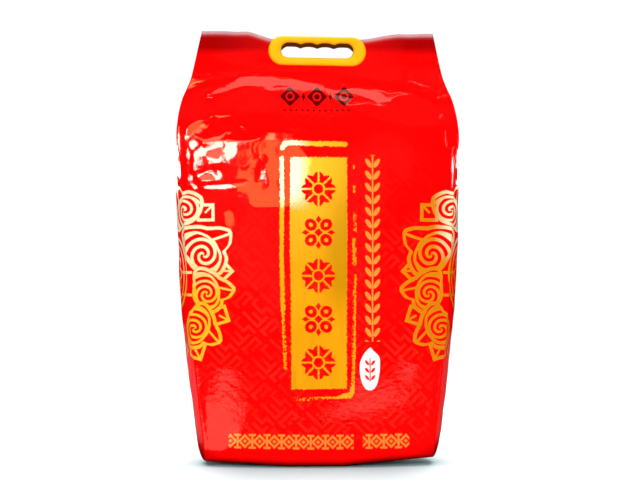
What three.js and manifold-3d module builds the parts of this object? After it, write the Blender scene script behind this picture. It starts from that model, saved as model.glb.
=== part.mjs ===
// A 5 kg rice sack: a filled bag of laminated film with side gussets, standing
// on its flat base, with a flat header above the filling and a two-part plastic
// carry handle clamped through a slot in that header.
//
// Millimetres, +Z up, front face towards -Y. The origin is the middle of the
// base: X and Y are centred on the bounding box and Z = 0 is the floor.
//
//   sack          filled film bag with its header, one closed solid
//   handle_front  front half of the handle, with the sleeve that lines the slot
//   handle_back   back half of the handle

import * as THREE from "three";
import { mergeVertices } from "three/addons/utils/BufferGeometryUtils.js";
import Module from "manifold-3d";

// ------------------------------------------------------------ named sizes (mm)
const HEIGHT = 412; // floor to the film's top edge, beside the handle
const HEADER_Z = 376; // above this the two films are pressed together
const HEADER_HALF_T = 0.6; // half thickness of the header as a solid
const SHOULDER_Z = 318; // where the gussets start to tuck in
const LEAN = THREE.MathUtils.degToRad(5); // the header leans forward
const LEAN_Z = 370; // ... from here up

const EDGE_DIP = 9; // the top edge drops this much at the handle
const DIP_LEFT = [-76, -42]; // ... between these on the left
const DIP_RIGHT = [40, 108]; // ... and these on the right
const CREASE_DROP = 13; // the header's crease falls towards both sides
const CREASE_X = -30; // ... from its highest point here
const CURL = 4; // the header's corners curl forward by this much
const SWAY = 0.004; // the filled bag leans a little to the left going up
const BASE_FLAT = 28; // the base is flat for this half width
const BASE_LIFT = [5, 8]; // and its left and right ends stand off the floor

// Named stations up the bag: z, crease = half width at the panel creases,
// side = half width at the middle of the gusset, creaseY = half depth at the
// creases, midY = half depth at the middle of the panels.
const STATIONS = [
  { z: 0, crease: 103.3, side: 109.3, creaseY: 21, midY: 30 },
  { z: 4, crease: 105.8, side: 112.8, creaseY: 24, midY: 34.5 },
  { z: 12, crease: 107.3, side: 114.7, creaseY: 26, midY: 37.5 },
  { z: 60, crease: 113.2, side: 121.2, creaseY: 27, midY: 41.5 },
  { z: 150, crease: 121.5, side: 130.8, creaseY: 27, midY: 43 },
  { z: 235, crease: 126.0, side: 134.8, creaseY: 25, midY: 41 },
  { z: 285, crease: 129.5, side: 135.6, creaseY: 22, midY: 37 },
  { z: 312, crease: 134.6, side: 133.8, creaseY: 18, midY: 30.5 },
  { z: 328, crease: 134.0, side: 125.0, creaseY: 14.5, midY: 25 },
  { z: 346, crease: 129.4, side: 112.0, creaseY: 9.2, midY: 16.5 },
  { z: 360, crease: 123.4, side: 105.0, creaseY: 4.4, midY: 8.2 },
  { z: 368, crease: 120.4, side: 106.0, creaseY: 1.8, midY: 3.4 },
  { z: 376, crease: 118.3, side: 118.0, creaseY: 0.6, midY: 0.6 },
  { z: 412, crease: 109.5, side: 109.5, creaseY: 0.6, midY: 0.6 },
];

// Rows of the skin: [from z, to z, steps]
const ROWS = [
  [0, 12, 3],
  [12, 285, 10],
  [285, 328, 5],
  [328, 376, 7],
  [376, 412, 5],
];
const ACROSS = 36; // steps across a panel
const AROUND_GUSSET = 6; // steps across a gusset
const PANEL_ROUND = 2.2; // crown of the panels: 2 is a parabola
const GUSSET_ROUND = 1.6;

// Handle
const HANDLE_Z = 392.6; // height of its centre
const HANDLE_W = 94;
const HANDLE_H = 29.8;
const HANDLE_R = 14.4; // radius of the outer ends
const GRIP_W = 69; // finger opening
const GRIP_R = 6.2; // radius of its ends and half its height
const SCALLOP = 15.84; // pitch of the finger scallops
const SCALLOP_DEEP = 1.7;
const HALF_T = 5.6; // how far each half stands off the film
const EDGE_T = 2.2; // its thickness at the rim
const SLEEVE = 1.2; // wall of the sleeve in the slot
const FACE_Y = HEADER_HALF_T + 0.3; // flat inner face of each half
const SLOT_GAP = 0.5; // film slot round the sleeve

// ------------------------------------------------------------------- helpers
const clamp01 = (t) => Math.min(1, Math.max(0, t));
const smooth = (a, b, v) => {
  const t = clamp01((v - a) / (b - a));
  return t * t * (3 - 2 * t);
};

// Monotone cubic through one column of the stations, so that no station
// overshoots its neighbours.
function column(key) {
  const n = STATIONS.length;
  const slope = STATIONS.slice(1).map(
    (s, i) => (s[key] - STATIONS[i][key]) / (s.z - STATIONS[i].z),
  );
  const tangent = STATIONS.map((_, i) => {
    if (i === 0) return slope[0];
    if (i === n - 1) return slope[n - 2];
    const [l, r] = [slope[i - 1], slope[i]];
    return l * r <= 0 ? 0 : (2 * l * r) / (l + r);
  });
  return (z) => {
    let i = 0;
    while (i < n - 2 && z > STATIONS[i + 1].z) i++;
    const [s, e] = [STATIONS[i], STATIONS[i + 1]];
    const h = e.z - s.z;
    const t = clamp01((z - s.z) / h);
    return (
      s[key] * (2 * t ** 3 - 3 * t ** 2 + 1) +
      tangent[i] * h * (t ** 3 - 2 * t ** 2 + t) +
      e[key] * (3 * t ** 2 - 2 * t ** 3) +
      tangent[i + 1] * h * (t ** 3 - t ** 2)
    );
  };
}
const at = Object.fromEntries(
  ["crease", "side", "creaseY", "midY"].map((key) => [key, column(key)]),
);

// Depth of the header's middle surface: it leans forward, and its corners curl.
function headerY(x, z) {
  const up = z - LEAN_Z;
  const eased = up <= 0 ? 0 : up >= 6 ? up - 3 : (up * up) / 12;
  const curl = CURL * smooth(52, 108, Math.abs(x)) * smooth(372, 412, z);
  const ripple = 2.2 * smooth(50, 62, Math.abs(x)) * smooth(104, 74, Math.abs(x)) * smooth(380, 412, z);
  return -Math.tan(LEAN) * eased - curl + ripple;
}

// How the rows leave the horizontal: the crease under the header falls to the
// sides, the top edge dips at the handle, and the base's corners lift.
function rowShift(x, z) {
  const crease =
    -CREASE_DROP *
    Math.min(1, ((x - CREASE_X) / 95) ** 2) *
    smooth(318, 362, z) *
    smooth(384, 368, z);
  const dip =
    -EDGE_DIP *
    smooth(DIP_LEFT[0], DIP_LEFT[1], x) *
    smooth(DIP_RIGHT[1], DIP_RIGHT[0], x) *
    smooth(378, HEIGHT, z);
  const lift =
    BASE_LIFT[x < 0 ? 0 : 1] *
    Math.max(0, (Math.abs(x) - BASE_FLAT) / 80) ** 1.15 *
    smooth(70, 0, z);
  return crease + dip + lift;
}

// ------------------------------------------------------------------ the sack
// A box whose front and back become the crowned panels, whose sides become the
// gussets, and whose top and bottom become the sealed edge and the base.
function sackGeometry() {
  const rows = [0];
  for (const [from, to, steps] of ROWS)
    for (let i = 1; i <= steps; i++) rows.push(from + ((to - from) * i) / steps);
  const count = rows.length - 1;
  const box = new THREE.BoxGeometry(2, 2, count, ACROSS, AROUND_GUSSET, count);
  const pos = box.getAttribute("position");
  for (let i = 0; i < pos.count; i++) {
    const p = Math.sin((pos.getX(i) * Math.PI) / 2) * 0.35 + pos.getX(i) * 0.65; // closer together near the creases
    const q = pos.getY(i);
    const z = rows[Math.round(pos.getZ(i) + count / 2)];
    const up = z + rowShift(p * at.crease(z), z);
    const bulge = (at.side(z) - at.crease(z)) * (1 - Math.abs(q) ** GUSSET_ROUND);
    const x = p * (at.crease(up) + bulge * Math.abs(p) ** 10) - SWAY * (up - HANDLE_Z);
    const crown = 1 - Math.abs(p) ** PANEL_ROUND;
    const y = q * (at.creaseY(z) + (at.midY(z) - at.creaseY(z)) * crown);
    pos.setXYZ(i, x, y + headerY(x, up), up);
  }
  return box;
}

// -------------------------------------------------------------- the handle
// The finger opening and the outline, as two loops of matching points that
// start at the left end of the top bar. Local frame: x across, y up.
function handleLoops() {
  const xi = GRIP_W / 2 - GRIP_R;
  const xo = HANDLE_W / 2 - HANDLE_R;
  const zo = HANDLE_H / 2;
  const inner = [];
  const outer = [];
  const push = (ix, iy, ox, oy) => {
    inner.push(new THREE.Vector2(ix, iy));
    outer.push(new THREE.Vector2(ox, oy));
  };
  // top bar, with four scallops for the fingers between three downward cusps
  const stops = [-xi, -1.5 * SCALLOP];
  for (let k = -3; k < 3; k++)
    for (let s = 1; s <= 4; s++) stops.push((k / 2 + s / 8) * SCALLOP);
  stops.push(xi);
  for (const x of stops) {
    const cusp =
      Math.abs(x) >= 1.5 * SCALLOP - 1e-6
        ? 0
        : (1 - Math.abs(Math.sin((Math.PI * x) / SCALLOP))) ** 1.3;
    push(x, GRIP_R - SCALLOP_DEEP * cusp, (x * xo) / xi, zo);
  }
  // each end is an arc on both loops, and the bottom bar is straight
  const ARC = 7;
  const BOTTOM = 16;
  for (let k = 1; k <= ARC; k++) {
    const a = Math.PI / 2 - (Math.PI * k) / ARC;
    push(
      xi + GRIP_R * Math.cos(a),
      GRIP_R * Math.sin(a),
      xo + HANDLE_R * Math.cos(a),
      zo * Math.sin(a),
    );
  }
  for (let k = 1; k < BOTTOM; k++)
    push(xi - (2 * xi * k) / BOTTOM, -GRIP_R, xo - (2 * xo * k) / BOTTOM, -zo);
  for (let k = 0; k < ARC; k++) {
    const a = -Math.PI / 2 - (Math.PI * k) / ARC;
    push(
      -xi + GRIP_R * Math.cos(a),
      GRIP_R * Math.sin(a),
      -xo + HANDLE_R * Math.cos(a),
      zo * Math.sin(a),
    );
  }
  return { inner, outer };
}
const loops = handleLoops();

// The section of one half, as [distance outward from the opening, height off
// the film]; the distance is a share of the band's width where share is true.
function section(withSleeve) {
  const points = [];
  const DOME = 6;
  for (let k = 0; k <= DOME; k++) {
    const s = k / DOME;
    const h = EDGE_T + (HALF_T - EDGE_T) * Math.sqrt(1 - Math.abs(2 * s - 1) ** 3);
    points.push({ share: true, d: s, h: FACE_Y + h });
  }
  points.push({ share: true, d: 1, h: FACE_Y });
  if (withSleeve) {
    points.push({ share: false, d: SLEEVE, h: FACE_Y });
    points.push({ share: false, d: SLEEVE, h: -(FACE_Y - 0.3) });
    points.push({ share: false, d: 0, h: -(FACE_Y - 0.3) });
  } else points.push({ share: false, d: 0, h: FACE_Y });
  return points;
}

// A torus whose ring follows the loops and whose tube follows the section.
// side is -1 for the front half and +1 for the back half.
function handleGeometry(side) {
  const tube = section(side < 0);
  const n = loops.inner.length;
  const torus = new THREE.TorusGeometry(10, 2, tube.length, n);
  const pos = torus.getAttribute("position");
  const uv = torus.getAttribute("uv");
  for (let i = 0; i < pos.count; i++) {
    const t = Math.round(uv.getX(i) * n) % n;
    const s = tube[Math.round(uv.getY(i) * tube.length) % tube.length];
    const from = loops.inner[t];
    const across = loops.outer[t].clone().sub(from);
    const d = s.share ? s.d : s.d / across.length();
    pos.setXYZ(i, from.x + across.x * d, side * s.h, from.y + across.y * d);
  }
  return faceOut(torus);
}

// Reverses the faces of a geometry that points inwards.
function faceOut(geometry) {
  const pos = geometry.getAttribute("position");
  const index = geometry.getIndex();
  const [a, b, c] = [new THREE.Vector3(), new THREE.Vector3(), new THREE.Vector3()];
  let volume = 0;
  for (let i = 0; i < index.count; i += 3) {
    a.fromBufferAttribute(pos, index.getX(i));
    b.fromBufferAttribute(pos, index.getX(i + 1));
    c.fromBufferAttribute(pos, index.getX(i + 2));
    volume += a.dot(b.cross(c)) / 6;
  }
  if (volume < 0)
    for (let i = 0; i < index.count; i += 3) {
      const k = index.getX(i);
      index.setX(i, index.getX(i + 1));
      index.setX(i + 1, k);
    }
  return geometry;
}

// ------------------------------------------------------- cutting with a solid
const wasm = await Module();
wasm.setup();

function toSolid(geometry, matrix = new THREE.Matrix4()) {
  const bare = geometry.clone().applyMatrix4(matrix);
  bare.deleteAttribute("normal");
  bare.deleteAttribute("uv");
  const merged = mergeVertices(bare, 1e-4);
  return new wasm.Manifold(
    new wasm.Mesh({
      numProp: 3,
      vertProperties: new Float32Array(merged.getAttribute("position").array),
      triVerts: new Uint32Array(merged.getIndex().array),
    }),
  );
}

function toGeometry(solid) {
  const mesh = solid.getMesh();
  const xyz = new Float32Array(mesh.numVert * 3);
  for (let i = 0; i < mesh.numVert; i++)
    xyz.set(mesh.vertProperties.subarray(i * mesh.numProp, i * mesh.numProp + 3), i * 3);
  const geometry = new THREE.BufferGeometry();
  geometry.setAttribute("position", new THREE.BufferAttribute(xyz, 3));
  geometry.setIndex(new THREE.BufferAttribute(new Uint32Array(mesh.triVerts), 1));
  geometry.computeVertexNormals();
  return geometry;
}

// --------------------------------------------------------------- the assembly
const red = new THREE.MeshStandardMaterial({
  name: "film",
  color: new THREE.Color(0.86, 0.01, 0.01),
  roughness: 0.18,
  metalness: 0,
});
const yellow = new THREE.MeshStandardMaterial({
  name: "handle",
  color: new THREE.Color(0.95, 0.55, 0.03),
  roughness: 0.4,
  metalness: 0,
});

// The handle's frame: its local z is up the leaning header and y is through it.
const handle = new THREE.Group();
handle.position.set(0, headerY(0, HANDLE_Z), HANDLE_Z);
handle.rotation.x = LEAN;
handle.updateMatrixWorld(true);

// The slot that the handle's sleeve passes through, cut square to the header.
const slotShape = new THREE.Shape(
  loops.inner.map((from, i) => {
    const across = loops.outer[i].clone().sub(from);
    return from.clone().addScaledVector(across, (SLEEVE + SLOT_GAP) / across.length());
  }),
);
const slotCutter = new THREE.ExtrudeGeometry(slotShape, {
  depth: 24,
  bevelEnabled: false,
});
slotCutter.translate(0, 0, -12);
slotCutter.rotateX(Math.PI / 2); // shape's y becomes z, extrusion runs along y
const sackSolid = toSolid(sackGeometry()).subtract(
  toSolid(mergeVertices(slotCutter), handle.matrixWorld),
);

const sack = new THREE.Mesh(toGeometry(sackSolid), red);
sack.name = "sack";

const handleFront = new THREE.Mesh(handleGeometry(-1), yellow);
handleFront.name = "handle_front";
const handleBack = new THREE.Mesh(handleGeometry(1), yellow);
handleBack.name = "handle_back";
handle.add(handleFront, handleBack);

const group = new THREE.Group();
group.name = "rice_sack";
group.add(sack, handle);

// Centre the bounding box on X and Y, with the base on Z = 0.
group.updateMatrixWorld(true);
const bounds = new THREE.Box3().setFromObject(group, true);
group.position.set(
  -(bounds.min.x + bounds.max.x) / 2,
  -(bounds.min.y + bounds.max.y) / 2,
  -bounds.min.z,
);

export default group;
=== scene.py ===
"""Looks of the filled rice sack: a glossy printed film bag with creases and
wrinkles, and a clipped-on plastic handle. Metres, in the frame of the part."""

import math

import bmesh
import bpy
import numpy as np
from mathutils import Matrix, Vector


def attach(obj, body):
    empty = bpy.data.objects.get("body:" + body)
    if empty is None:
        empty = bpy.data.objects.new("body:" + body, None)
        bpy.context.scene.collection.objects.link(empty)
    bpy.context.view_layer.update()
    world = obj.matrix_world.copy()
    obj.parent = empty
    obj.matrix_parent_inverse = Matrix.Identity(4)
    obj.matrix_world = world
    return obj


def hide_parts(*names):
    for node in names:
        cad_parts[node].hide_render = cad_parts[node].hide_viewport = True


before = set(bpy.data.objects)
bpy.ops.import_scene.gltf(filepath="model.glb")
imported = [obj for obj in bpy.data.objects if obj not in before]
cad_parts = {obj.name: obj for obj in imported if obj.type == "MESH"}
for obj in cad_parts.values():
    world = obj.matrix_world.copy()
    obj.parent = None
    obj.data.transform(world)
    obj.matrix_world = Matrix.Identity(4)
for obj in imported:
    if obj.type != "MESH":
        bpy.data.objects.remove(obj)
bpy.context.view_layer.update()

MM = 0.001

# ---------------------------------------------------------------- the camera
# Distances in millimetres. The image is taken to be 640 x 480 pixels.
CAM_DIST, CAM_EL, CAM_AZ = 1500.0, 1.0, -1.5
CAM_AT = np.array([0.0, 0.0, 205.0])
CAM_F, CAM_CX, CAM_CY = 1566.3, 317.55, 248.7

_e, _a = math.radians(CAM_EL), math.radians(CAM_AZ)
CAM_FWD = np.array([-math.sin(_a) * math.cos(_e), math.cos(_a) * math.cos(_e), -math.sin(_e)])
CAM_RIGHT = np.array([math.cos(_a), math.sin(_a), 0.0])
CAM_UP = np.cross(CAM_RIGHT, CAM_FWD)
CAM_POS = CAM_AT - CAM_FWD * CAM_DIST


def to_picture(x, y, z):
    """Picture coordinates of points of the bag, used to lay out its print."""
    r = [x - CAM_POS[0], y - CAM_POS[1], z - CAM_POS[2]]
    dot = lambda v: r[0] * v[0] + r[1] * v[1] + r[2] * v[2]
    depth = dot(CAM_FWD)
    return CAM_CX + CAM_F * dot(CAM_RIGHT) / depth, CAM_CY - CAM_F * dot(CAM_UP) / depth


# --------------------------------------------------------- small numeric tools
def smooth(a, b, v):
    t = np.clip((v - a) / (b - a), 0.0, 1.0)
    return t * t * (3 - 2 * t)


class Noise:
    """Seeded gradient noise in two dimensions, about -1 to 1."""

    def __init__(self, seed):
        rng = np.random.default_rng(seed)
        self.perm = rng.permutation(256)
        angle = rng.uniform(0, 2 * math.pi, 256)
        self.gx, self.gy = np.cos(angle), np.sin(angle)

    def __call__(self, x, y):
        x, y = np.broadcast_arrays(np.asarray(x, float), np.asarray(y, float))
        xi, yi = np.floor(x).astype(int), np.floor(y).astype(int)
        xf, yf = x - xi, y - yi
        u = xf * xf * xf * (xf * (xf * 6 - 15) + 10)
        v = yf * yf * yf * (yf * (yf * 6 - 15) + 10)

        def corner(ox, oy):
            h = self.perm[(self.perm[(xi + ox) & 255] + yi + oy) & 255]
            return self.gx[h] * (xf - ox) + self.gy[h] * (yf - oy)

        a = corner(0, 0) * (1 - u) + corner(1, 0) * u
        b = corner(0, 1) * (1 - u) + corner(1, 1) * u
        return (a * (1 - v) + b * v) * 1.5


def columns(table, key):
    """Monotone cubic through one column of the stations."""
    z = np.array([row[0] for row in table], float)
    v = np.array([row[key] for row in table], float)
    slope = np.diff(v) / np.diff(z)
    tangent = np.zeros(len(z))
    tangent[0], tangent[-1] = slope[0], slope[-1]
    for i in range(1, len(z) - 1):
        left, right = slope[i - 1], slope[i]
        tangent[i] = 0 if left * right <= 0 else 2 * left * right / (left + right)

    def at(q):
        q = np.asarray(q, float)
        i = np.clip(np.searchsorted(z, q, "right") - 1, 0, len(z) - 2)
        h = z[i + 1] - z[i]
        t = np.clip((q - z[i]) / h, 0, 1)
        return (
            v[i] * (2 * t**3 - 3 * t**2 + 1)
            + tangent[i] * h * (t**3 - 2 * t**2 + t)
            + v[i + 1] * (3 * t**2 - 2 * t**3)
            + tangent[i + 1] * h * (t**3 - t**2)
        )

    return at


# ------------------------------------------------------- the shape of the bag
# z, half width at the panel creases, half width at the middle of the gusset,
# half depth at the creases, half depth at the middle of the panels
STATIONS = [
    (0, 107.0, 111.0, 21, 24.5),
    (4, 107.4, 113.0, 24, 33.0),
    (12, 107.8, 114.8, 26, 37.5),
    (60, 113.2, 121.2, 27, 41.5),
    (150, 121.5, 130.8, 27, 43),
    (235, 126.0, 134.8, 25, 41),
    (285, 129.5, 135.6, 22, 37),
    (312, 133.2, 132.6, 18, 30.5),
    (328, 132.0, 124.0, 14.5, 25),
    (346, 128.6, 110.0, 9.2, 16.5),
    (360, 123.4, 99.0, 4.4, 8.2),
    (368, 120.4, 95.0, 1.8, 3.4),
    (376, 118.3, 92.5, 0.5, 0.5),
    (412, 109.5, 84.0, 0.5, 0.5),
]
crease_w, side_w, crease_d, mid_d = (columns(STATIONS, k) for k in (1, 2, 3, 4))

HEIGHT = 412.0
HANDLE_Z = 392.6
LEAN = math.radians(5)
SWAY = 0.004
SHIFT_X = -0.43  # the bag's own middle against its bounding box


def header_y(x, z):
    up = z - 370.0
    eased = np.where(up <= 0, 0, np.where(up >= 6, up - 3, up * up / 12))
    curl = 4.0 * smooth(52, 108, np.abs(x)) * smooth(372, 412, z)
    ripple = 2.2 * smooth(50, 62, np.abs(x)) * smooth(104, 74, np.abs(x)) * smooth(380, 412, z)
    return -math.tan(LEAN) * eased - curl + ripple


def row_shift(x, z, seat=None):
    seat = x if seat is None else seat  # where the film itself is, across
    crease = -13 * np.minimum(1, ((x + 30) / 95) ** 2) * smooth(318, 362, z) * smooth(384, 368, z)
    dip = -7.4 * smooth(-68, -38, seat) * smooth(82, 38, seat) - 2.3 * smooth(44, 92, seat)
    lift = np.where(
        x < 0,
        5.0 * np.maximum(0, (np.abs(x) - 28) / 80) ** 1.15,
        8.0 * np.maximum(0, (np.abs(x) - 24) / 84) ** 0.9,
    )
    return crease + dip * smooth(378, HEIGHT, z) + lift * smooth(70, 0, z)


def bag(p, q, z):
    """A point of the smooth skin: p runs across the panels, q front to back."""
    tuck = (side_w(z) - crease_w(z)) * (1 - np.abs(q) ** 1.6) * np.abs(p) ** 10
    up = z + row_shift(p * crease_w(z), z, p * crease_w(z) + tuck)
    bulge = (side_w(z) - crease_w(z)) * (1 - np.abs(q) ** 1.6)
    x = p * (crease_w(up) + bulge * np.abs(p) ** 10) - SWAY * (up - HANDLE_Z)
    crown = 1 - np.abs(p) ** 2.2
    y = q * (crease_d(z) + (mid_d(z) - crease_d(z)) * crown)
    return x + SHIFT_X, y + header_y(x, up), up


def steps(*parts):
    out = [parts[0][0]]
    for a, b, n in parts:
        out += [a + (b - a) * (i + 1) / n for i in range(n)]
    return np.array(out, float)


ACROSS = steps((-125, -38, 72), (-38, 45, 32), (45, 75, 11), (75, 125, 34)) / 125
ROWS = steps((0, 14, 8), (14, 92, 28), (92, 200, 62), (200, 340, 106), (340, 384, 44), (384, 412, 14))
GUSSET = 22  # steps across a gusset

n_panel = len(ACROSS)
inner_q = np.linspace(-1, 1, GUSSET + 1)[1:-1]
P = np.concatenate([ACROSS, np.ones(GUSSET - 1), ACROSS[::-1], -np.ones(GUSSET - 1)])
Q = np.concatenate([-np.ones(n_panel), inner_q, np.ones(n_panel), inner_q[::-1]])
N_COL, N_ROW = len(P), len(ROWS)
FRONT = np.arange(n_panel)
RIGHT = np.arange(n_panel, n_panel + GUSSET - 1)
BACK = np.arange(n_panel + GUSSET - 1, 2 * n_panel + GUSSET - 1)
LEFT = np.arange(2 * n_panel + GUSSET - 1, N_COL)

X, Y, Z = bag(P[None, :], Q[None, :], ROWS[:, None])


def normals(x, y, z):
    g = np.stack([x, y, z], -1)
    across = np.roll(g, -1, 1) - np.roll(g, 1, 1)
    up = np.gradient(g, axis=0)
    n = np.cross(across, up)
    return n / np.maximum(np.linalg.norm(n, axis=-1, keepdims=True), 1e-9)


NRM = normals(X, Y, Z)

# ------------------------------------------------- where the print is laid out
# U and V are the film's own coordinates, in pixels of the picture: across and
# down. On a gusset U runs on round it from the crease, and the back panel is
# laid out as the front one.
U = np.zeros((N_ROW, N_COL))
V = np.zeros((N_ROW, N_COL))
U[:, FRONT], V[:, FRONT] = to_picture(X[:, FRONT], Y[:, FRONT], Z[:, FRONT])
U[:, BACK], V[:, BACK] = U[:, FRONT[::-1]], V[:, FRONT[::-1]]
U_MID = CAM_CX
for cols, corner, sign in ((RIGHT, FRONT[-1], 1), (LEFT[::-1], FRONT[0], -1)):
    end = BACK[0] if sign > 0 else BACK[-1]
    ring = np.concatenate([[corner], cols, [end]])
    step = np.sqrt(
        np.diff(X[:, ring], axis=1) ** 2 + np.diff(Y[:, ring], axis=1) ** 2
    )
    arc = np.cumsum(step, axis=1)
    total = arc[:, -1:]
    d = np.minimum(arc[:, :-1], total - arc[:, :-1])
    U[:, cols] = U[:, [corner]] + sign * d / 0.96
    V[:, cols] = V[:, [corner]]
SIDE_SIGN = np.where(Q[None, :] > 0, -1.0, 1.0) * np.ones((N_ROW, 1))  # +1 front, -1 back


# ------------------------------------------------------------------ the lamps
# Places of the softboxes, in millimetres, chosen with the facets of the film
# below: each facet is tilted so that one of these shows in it.
LAMPS = {
    "window": (-886.0, -2143.0, 1121.0),
    "door": (-552.0, -2284.0, 961.0),
    "peach": (-552.0, -2179.0, 1290.0),
    "ceiling": (30.0, -455.0, 2100.0),
    "glow": (-829.0, -2009.0, 1441.0),
    "ceiling_right": (520.0, -455.0, 2100.0),
    "right": (1951.0, -1553.0, 634.0),
    "pale": (1672.0, -1622.0, 1217.0),
    # no lamp stands here: a facet that mirrors these stays plain
    "dark": (820.0, -767.0, 2036.0),
    "gap": (-729.0, -2230.0, 1060.0),
    "shade": (-720.0, -1760.0, 1900.0),
}


# ------------------------------------------------------------------- wrinkles
def lines(paths):
    segs = []
    for path in paths:
        p = np.asarray(path, float)
        segs.append(np.concatenate([p[:-1], p[1:]], axis=1))
    return np.concatenate(segs)


def distance(u, v, segs):
    """Distance from points to a set of line segments."""
    best = np.full(u.shape, 1e9)
    for a0, b0, a1, b1 in segs:
        du, dv = a1 - a0, b1 - b0
        ll = max(du * du + dv * dv, 1e-9)
        t = np.clip(((u - a0) * du + (v - b0) * dv) / ll, 0, 1)
        np.minimum(best, np.hypot(u - a0 - t * du, v - b0 - t * dv), out=best)
    return best


def inside_polygon(u, v, poly):
    poly = np.asarray(poly, float)
    res = np.zeros(u.shape, bool)
    j = len(poly) - 1
    for i in range(len(poly)):
        (x0, y0), (x1, y1) = poly[i], poly[j]
        res ^= ((y0 > v) != (y1 > v)) & (u < (x1 - x0) * (v - y0) / (y1 - y0 + 1e-12) + x0)
        j = i
    return res


def polygon_field(u, v, poly):
    """Positive inside the closed polygon, in pixels from its edge."""
    d = distance(u, v, lines([list(poly) + [poly[0]]]))
    return np.where(inside_polygon(u, v, poly), d, -d)


def ridge(u, v, points, width, height):
    """A crease along a line of picture points, fading out at both ends."""
    pts = np.array(points, float)
    best = np.full(u.shape, 1e9)
    along = np.zeros(u.shape)
    seg = np.linalg.norm(np.diff(pts, axis=0), axis=1)
    total, run = seg.sum(), 0.0
    for (a, b), length in zip(zip(pts[:-1], pts[1:]), seg):
        d = (b - a) / length
        ru, rv = u - a[0], v - a[1]
        t = np.clip(ru * d[0] + rv * d[1], 0, length)
        dist = np.hypot(ru - t * d[0], rv - t * d[1])
        near = dist < best
        best = np.where(near, dist, best)
        along = np.where(near, (run + t) / total, along)
        run += length
    fade = np.sin(np.pi * np.clip(along, 0, 1)) ** 0.6
    return height * fade * np.exp(-((best / width) ** 2))


def film_relief(u, v, flip):
    """Height of the film's wrinkles over a panel, in millimetres outwards."""
    big, mid, fine = Noise(11 + flip), Noise(23 + flip), Noise(37 + flip)
    h = 1.1 * big(u / 62 + 3.1, v / 80 + 1.7) + 0.30 * mid(u / 26, v / 34)
    # the film buckles a little more towards the creases at the sides
    edge = np.abs(u - U_MID) / 138
    h += 0.12 * smooth(0.6, 1.0, edge) * fine(u / 8.5 + 0.35 * mid(u / 30, v / 30), v / 30)
    h += 0.05 * fine(u / 13 + 9, v / 15 + 4)
    return h


relief = np.zeros((N_ROW, N_COL))
uf, vf = U[:, FRONT], V[:, FRONT]
front = film_relief(uf, vf, 0)
front += ridge(uf, vf, [(203, 386), (207, 415), (212, 452)], 4.0, 0.6)
front += ridge(uf, vf, [(432, 400), (430, 425), (424, 452)], 4.0, 0.5)
relief[:, FRONT] = front

ub, vb = U[:, BACK], V[:, BACK]
back = film_relief(2 * U_MID - ub, vb, 5)
for points, width, height in (
    ([(240, 84), (290, 78), (350, 90), (402, 98)], 3.4, 0.9),
    ([(452, 130), (436, 122), (420, 110)], 3.0, 1.1),
    ([(183, 132), (200, 138), (228, 134)], 3.0, 1.1),
    ([(442, 180), (412, 176), (380, 184)], 4.0, 1.0),
    ([(196, 176), (214, 180), (236, 174)], 3.4, -0.9),
    ([(204, 392), (210, 420), (216, 450)], 4.0, 0.9),
    ([(430, 395), (428, 420), (420, 450)], 4.0, 0.8),
):
    back += ridge(ub, vb, points, width, height)
relief[:, BACK] = back

side_noise, side_fine = Noise(51), Noise(53)
for cols, seed in ((RIGHT, 0.0), (LEFT, 40.0)):
    qq = Q[cols][None, :]
    zz = ROWS[:, None]
    inside = 1 - np.abs(qq) ** 4
    g = 0.9 * side_noise(qq * 0.7 + seed, zz / 46 + seed) * inside
    g += 0.5 * side_fine(qq * 1.6 + seed, zz / 19) * inside
    # the fold line down the middle of the gusset
    g -= 1.1 * np.exp(-((qq / 0.1) ** 2)) * smooth(8, 40, zz)
    # small cross buckles where it tucks in under the header
    g += 0.4 * np.sin(zz / 3.6 + 3 * qq) * smooth(286, 306, zz) * smooth(352, 330, zz) * inside
    relief[:, cols] = g

calm = smooth(0, 12, ROWS)[:, None] * smooth(376, 356, ROWS)[:, None]
# the film is held along the creases
hold = np.ones(N_COL)
hold[FRONT] = hold[BACK] = 1 - 0.75 * np.abs(ACROSS) ** 24
D = relief * calm * hold[None, :]
GX, GY, GZ = (c + NRM[..., i] * D for i, c in enumerate((X, Y, Z)))

# the creases stand a little proud, as pressed folds do
pinch = np.exp(-(((np.abs(P) - 1) * 125 / 1.6) ** 2)) * (np.abs(Q) == 1)
GX = GX + (np.sign(P) * 0.6 * pinch)[None, :] * calm

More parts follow.
